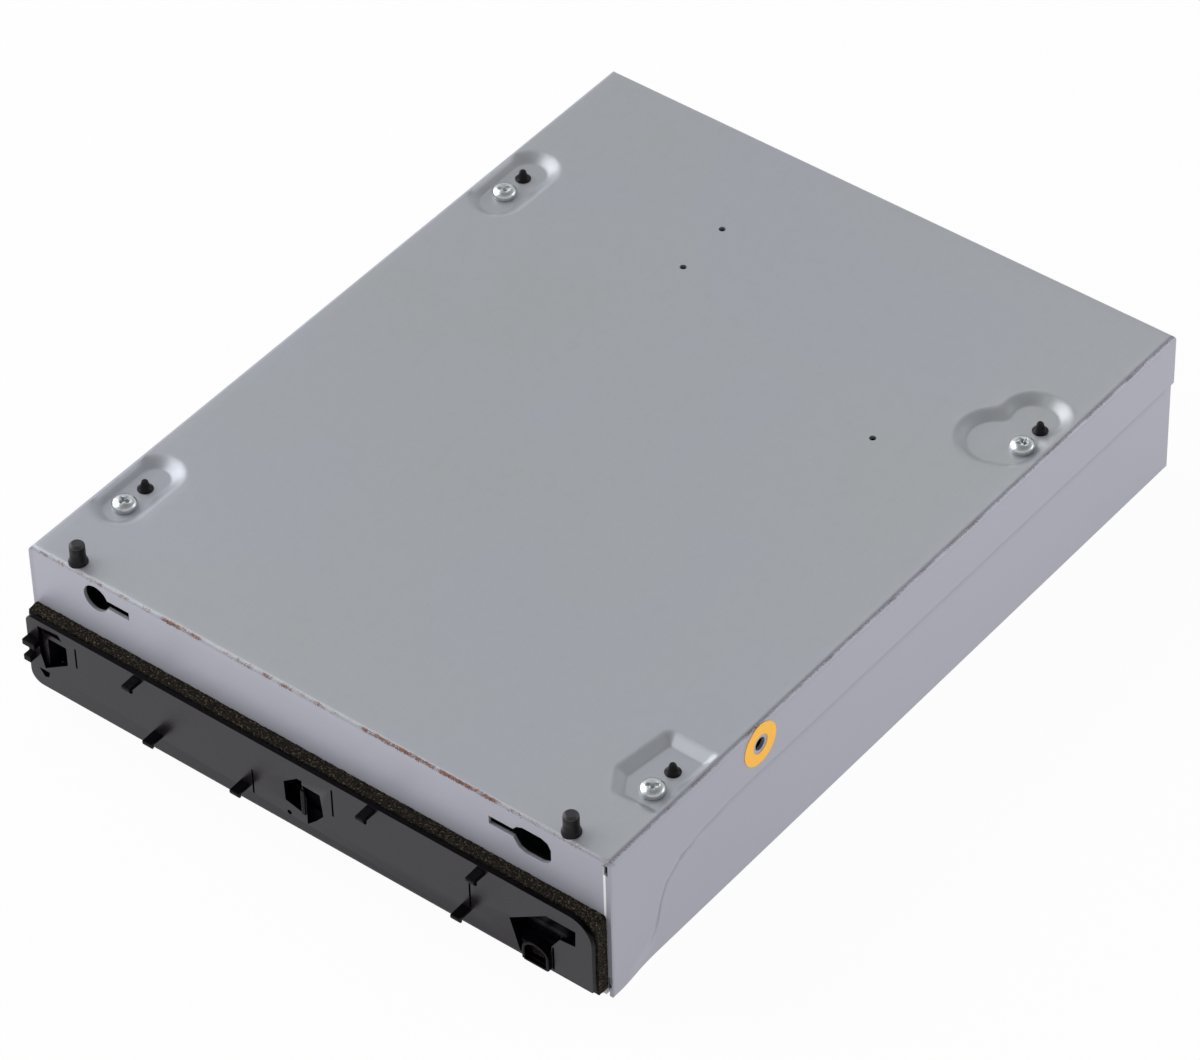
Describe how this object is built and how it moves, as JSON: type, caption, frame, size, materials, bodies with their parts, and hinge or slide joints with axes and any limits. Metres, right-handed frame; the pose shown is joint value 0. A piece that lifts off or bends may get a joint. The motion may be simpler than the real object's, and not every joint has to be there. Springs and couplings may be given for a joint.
{
  "type": "console disc drive",
  "caption": "Half-height tray-loading optical disc drive in a pressed steel casing, with a foam-sealed tray front, locating posts and rear connectors.",
  "frame": {"origin": "centre of the casing footprint, on the outer face of the label-side cover, which is down here and up when installed", "axes": "+Z out of the service cover with the screws, -Y out of the tray front, +X to the right seen from the tray front with the service cover up"},
  "size_m": [0.1482, 0.1985, 0.0422],
  "materials": {
    "zinc_steel": "zinc-plated pressed sheet, satin",
    "black_plastic": "moulded, fine matt",
    "tray_plastic": "moulded, semi-matt",
    "white_plastic": "moulded, natural",
    "foam": "open-cell foam",
    "screw_zinc": "bright zinc plated",
    "orange_film": "thin printed film",
    "board_green": "solder-masked laminate",
    "chip_black": "moulded package",
    "contact_metal": "plated contacts",
    "rubber": "black rubber",
    "steel": "ground steel",
    "copper": "enamelled windings and brass",
    "magnet": "sintered magnet",
    "die_cast": "die-cast alloy",
    "glass": "coated lens"
  },
  "bodies": {
    "casing": {"board_capacitors": "chip_black", "board_screws": "screw_zinc", "bridge_rivets": "screw_zinc", "cable_sockets": "white_plastic", "case_screws": "screw_zinc", "clamp_bridge": "zinc_steel", "controller_chip": "chip_black", "data_connector": "black_plastic", "drive_belt": "rubber", "ejector_ring": "orange_film", "foam_gasket": "foam", "label_cover": "zinc_steel", "loading_motor": "steel", "main_board": "board_green", "main_frame": "black_plastic", "memory_chip": "chip_black", "motor_driver_chip": "chip_black", "power_connector": "white_plastic", "power_pins": "contact_metal", "service_cover": "zinc_steel", "tray_switch": "black_plastic"},
    "tray": {"disc_tray": "tray_plastic", "tray_front": "tray_plastic"},
    "cam": {"cam_slider": "white_plastic"},
    "tray_drive_gear": {"tray_gear": "white_plastic"},
    "idler": {"idler_gear": "white_plastic"},
    "belt_gear": {"pulley_gear": "white_plastic"},
    "loading_shaft": {"motor_pulley": "white_plastic"},
    "lift": {"lift_frame": "black_plastic", "traverse_base": "zinc_steel", "main_guide_rod": "steel", "sub_guide_rod": "steel", "rod_clips": "black_plastic", "damper_bushes": "rubber", "damper_screws": "screw_zinc", "sled_motor": "steel", "sled_bracket": "zinc_steel", "spindle_stator": "copper", "spindle_bearing": "copper", "spindle_board": "board_green"},
    "spindle": {"turntable": "black_plastic", "turntable_pad": "rubber", "rotor_cup": "zinc_steel", "rotor_magnet": "magnet", "spindle_shaft": "steel"},
    "pickup": {"pickup_body": "die_cast", "lens_holder": "black_plastic", "objective_lens": "glass", "pickup_nut": "white_plastic", "laser_diode": "contact_metal"},
    "sled_screw": {"lead_screw": "steel"},
    "clamp": {"clamp_puck": "white_plastic", "clamp_plate": "steel"}
  },
  "joints": [
    {"name": "tray_slide", "type": "slide", "parent": "casing", "child": "tray", "axis": [0, -1, 0], "range_m": [0, 0.13]},
    {"name": "cam_slide", "type": "slide", "parent": "casing", "child": "cam", "axis": [-1, 0, 0], "range_m": [0, 0.02457]},
    {"name": "tray_gear_spin", "type": "hinge", "parent": "casing", "child": "tray_drive_gear", "pos_m": [-0.034, -0.072, 0.015], "axis": [0, 0, 1], "range_deg": [0, 466.53]},
    {"name": "idler_spin", "type": "hinge", "parent": "casing", "child": "idler", "pos_m": [-0.01427, -0.07918, 0.015], "axis": [0, 0, 1], "range_deg": [-1490.69, 0]},
    {"name": "belt_gear_spin", "type": "hinge", "parent": "casing", "child": "belt_gear", "pos_m": [-0.00113, -0.0827, 0.015], "axis": [0, 0, 1], "range_deg": [0, 3576.26]},
    {"name": "loading_motor_spin", "type": "hinge", "parent": "casing", "child": "loading_shaft", "pos_m": [0.034, -0.078, 0.018], "axis": [0, 0, 1], "range_deg": [0, 12585.9]},
    {"name": "lift_tilt", "type": "hinge", "parent": "casing", "child": "lift", "pos_m": [0, 0.051, 0.0214], "axis": [-1, 0, 0], "range_deg": [0, 6.39]},
    {"name": "spindle_spin", "type": "hinge", "parent": "lift", "child": "spindle", "pos_m": [0, -0.026, 0.012], "axis": [0, 0, 1], "continuous": true},
    {"name": "pickup_slide", "type": "slide", "parent": "lift", "child": "pickup", "axis": [0, 1, 0], "range_m": [0, 0.034]},
    {"name": "lead_screw_spin", "type": "hinge", "parent": "lift", "child": "sled_screw", "pos_m": [0.0355, 0, 0.0182], "axis": [0, 1, 0], "range_deg": [0, 4082]},
    {"name": "clamp_spin", "type": "hinge", "parent": "casing", "child": "clamp", "pos_m": [0, -0.026, 0.005], "axis": [0, 0, 1], "continuous": true}
  ],
  "couplings": [
    {"joint": "cam_slide", "follows": "tray_slide", "ratio": 0.1875},
    {"joint": "tray_gear_spin", "follows": "tray_slide", "rad_per_m": 62.5},
    {"joint": "idler_spin", "follows": "tray_slide", "rad_per_m": -200},
    {"joint": "belt_gear_spin", "follows": "tray_slide", "rad_per_m": 480},
    {"joint": "loading_motor_spin", "follows": "tray_slide", "rad_per_m": 1689.6},
    {"joint": "lift_tilt", "follows": "tray_slide", "rad_per_m": 0.85089},
    {"joint": "lead_screw_spin", "follows": "pickup_slide", "rad_per_m": 2094.4},
    {"joint": "clamp_spin", "follows": "spindle_spin", "ratio": 1}
  ]
}
